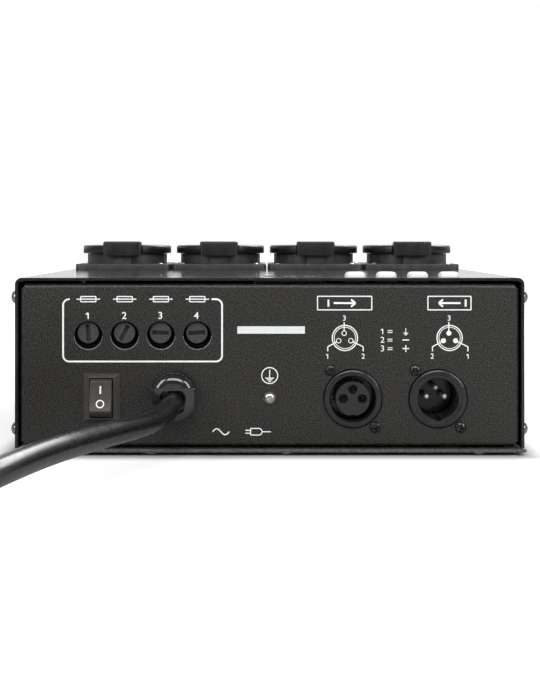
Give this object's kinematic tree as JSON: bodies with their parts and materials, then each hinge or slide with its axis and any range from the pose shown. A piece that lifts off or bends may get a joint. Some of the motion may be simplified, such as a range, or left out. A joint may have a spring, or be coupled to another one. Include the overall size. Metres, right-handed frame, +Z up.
{
  "type": "dmx switch pack",
  "caption": "Black steel lighting switch pack: lidded mains sockets on top, fuses, rocker switch, data connectors and a coiled mains cable at the rear.",
  "frame": {"origin": "under the middle of the box that the case and its fittings fill, on the floor", "axes": "+Z up; the rear panel with its connectors faces -Y, the front +Y; +X is to the right for someone who faces the rear panel"},
  "size_m": [0.3464, 0.3888, 0.0896],
  "materials": {
    "case_powder_coat": "fine textured black powder coat",
    "socket_plastic": "moulded black polyamide",
    "fuse_plastic": "moulded black thermoplastic",
    "fuse_glass": "clear glass tube between nickel end caps",
    "switch_plastic": "moulded black plastic",
    "rocker_plastic": "dark brownish grey plastic",
    "gland_nylon": "glossy black nylon",
    "cable_rubber": "smooth black rubber sheath",
    "connector_plastic": "moulded black plastic",
    "screw_nickel": "nickel-plated steel",
    "hinge_pin_steel": "drawn steel wire",
    "button_white": "moulded white plastic",
    "display_lens": "dark red lens",
    "circuit_board": "green solder mask",
    "relay_case": "blue plastic can",
    "transformer_iron": "laminated iron core with a taped winding",
    "terminal_green": "green plastic block",
    "foot_rubber": "matt black rubber"
  },
  "bodies": {
    "case": {"address_display": "display_lens", "base_plate": "case_powder_coat", "cable_gland": "gland_nylon", "control_board": "circuit_board", "cover_screw_1": "screw_nickel", "cover_screw_2": "screw_nickel", "cover_screw_3": "screw_nickel", "cover_screw_4": "screw_nickel", "earth_screw": "screw_nickel", "foot_1": "foot_rubber", "foot_2": "foot_rubber", "foot_3": "foot_rubber", "foot_4": "foot_rubber", "front_panel": "case_powder_coat", "fuse_holder_1": "fuse_plastic", "fuse_holder_2": "fuse_plastic", "fuse_holder_3": "fuse_plastic", "fuse_holder_4": "fuse_plastic", "input_connector_insert": "connector_plastic", "input_connector_shell": "connector_plastic", "mains_cable": "cable_rubber", "mains_cable_coil": "cable_rubber", "mains_plug": "cable_rubber", "output_connector_insert": "connector_plastic", "output_connector_shell": "connector_plastic", "power_board": "circuit_board", "rear_panel": "case_powder_coat", "relay_1": "relay_case", "relay_2": "relay_case", "relay_3": "relay_case", "relay_4": "relay_case", "socket_body_1": "socket_plastic", "socket_body_2": "socket_plastic", "socket_body_3": "socket_plastic", "socket_body_4": "socket_plastic", "socket_pin_1": "hinge_pin_steel", "socket_pin_2": "hinge_pin_steel", "socket_pin_3": "hinge_pin_steel", "socket_pin_4": "hinge_pin_steel", "switch_housing": "switch_plastic", "terminal_block": "terminal_green", "top_cover": "case_powder_coat", "transformer": "transformer_iron"},
    "switch_rocker": {"switch_rocker": "rocker_plastic"},
    "socket_lid_1": {"socket_lid_1": "socket_plastic"},
    "socket_lid_2": {"socket_lid_2": "socket_plastic"},
    "socket_lid_3": {"socket_lid_3": "socket_plastic"},
    "socket_lid_4": {"socket_lid_4": "socket_plastic"},
    "fuse_link_1": {"fuse_link_1": "fuse_glass"},
    "fuse_cap_1": {"fuse_cap_1": "fuse_plastic"},
    "fuse_link_2": {"fuse_link_2": "fuse_glass"},
    "fuse_cap_2": {"fuse_cap_2": "fuse_plastic"},
    "fuse_link_3": {"fuse_link_3": "fuse_glass"},
    "fuse_cap_3": {"fuse_cap_3": "fuse_plastic"},
    "fuse_link_4": {"fuse_link_4": "fuse_glass"},
    "fuse_cap_4": {"fuse_cap_4": "fuse_plastic"},
    "channel_button_1": {"channel_button_1": "button_white"},
    "channel_button_2": {"channel_button_2": "button_white"},
    "channel_button_3": {"channel_button_3": "button_white"},
    "channel_button_4": {"channel_button_4": "button_white"}
  },
  "joints": [
    {"name": "lid_hinge_1", "type": "hinge", "parent": "case", "child": "socket_lid_1", "pos_m": [-0.0765, 0.03261, 0.0861], "axis": [1, 0, 0], "range_deg": [0, 105], "stiffness_Nm_per_rad": 0.01, "springref_deg": -28.65},
    {"name": "lid_hinge_2", "type": "hinge", "parent": "case", "child": "socket_lid_2", "pos_m": [-0.0255, 0.03261, 0.0861], "axis": [1, 0, 0], "range_deg": [0, 105], "stiffness_Nm_per_rad": 0.01, "springref_deg": -28.65},
    {"name": "lid_hinge_3", "type": "hinge", "parent": "case", "child": "socket_lid_3", "pos_m": [0.0255, 0.03261, 0.0861], "axis": [1, 0, 0], "range_deg": [0, 105], "stiffness_Nm_per_rad": 0.01, "springref_deg": -28.65},
    {"name": "lid_hinge_4", "type": "hinge", "parent": "case", "child": "socket_lid_4", "pos_m": [0.0765, 0.03261, 0.0861], "axis": [1, 0, 0], "range_deg": [0, 105], "stiffness_Nm_per_rad": 0.01, "springref_deg": -28.65},
    {"name": "fuse_slide_1", "type": "slide", "parent": "case", "child": "fuse_link_1", "axis": [0, -1, 0], "range_m": [0, 0.03]},
    {"name": "fuse_cap_turn_1", "type": "hinge", "parent": "fuse_link_1", "child": "fuse_cap_1", "pos_m": [-0.0765, -0.09779, 0.0515], "axis": [0, -1, 0], "range_deg": [0, 90]},
    {"name": "fuse_slide_2", "type": "slide", "parent": "case", "child": "fuse_link_2", "axis": [0, -1, 0], "range_m": [0, 0.03]},
    {"name": "fuse_cap_turn_2", "type": "hinge", "parent": "fuse_link_2", "child": "fuse_cap_2", "pos_m": [-0.0612, -0.09779, 0.0515], "axis": [0, -1, 0], "range_deg": [0, 90]},
    {"name": "fuse_slide_3", "type": "slide", "parent": "case", "child": "fuse_link_3", "axis": [0, -1, 0], "range_m": [0, 0.03]},
    {"name": "fuse_cap_turn_3", "type": "hinge", "parent": "fuse_link_3", "child": "fuse_cap_3", "pos_m": [-0.046, -0.09779, 0.0515], "axis": [0, -1, 0], "range_deg": [0, 90]},
    {"name": "fuse_slide_4", "type": "slide", "parent": "case", "child": "fuse_link_4", "axis": [0, -1, 0], "range_m": [0, 0.03]},
    {"name": "fuse_cap_turn_4", "type": "hinge", "parent": "fuse_link_4", "child": "fuse_cap_4", "pos_m": [-0.0307, -0.09779, 0.0515], "axis": [0, -1, 0], "range_deg": [0, 90]},
    {"name": "rocker_pivot", "type": "hinge", "parent": "case", "child": "switch_rocker", "pos_m": [-0.0705, -0.09779, 0.0244], "axis": [1, 0, 0], "range_deg": [0, 24]},
    {"name": "button_press_1", "type": "slide", "parent": "case", "child": "channel_button_1", "axis": [0, 0, -1], "range_m": [0, 0.0008], "stiffness_N_per_m": 800, "springref_m": -0.0005},
    {"name": "button_press_2", "type": "slide", "parent": "case", "child": "channel_button_2", "axis": [0, 0, -1], "range_m": [0, 0.0008], "stiffness_N_per_m": 800, "springref_m": -0.0005},
    {"name": "button_press_3", "type": "slide", "parent": "case", "child": "channel_button_3", "axis": [0, 0, -1], "range_m": [0, 0.0008], "stiffness_N_per_m": 800, "springref_m": -0.0005},
    {"name": "button_press_4", "type": "slide", "parent": "case", "child": "channel_button_4", "axis": [0, 0, -1], "range_m": [0, 0.0008], "stiffness_N_per_m": 800, "springref_m": -0.0005}
  ]
}
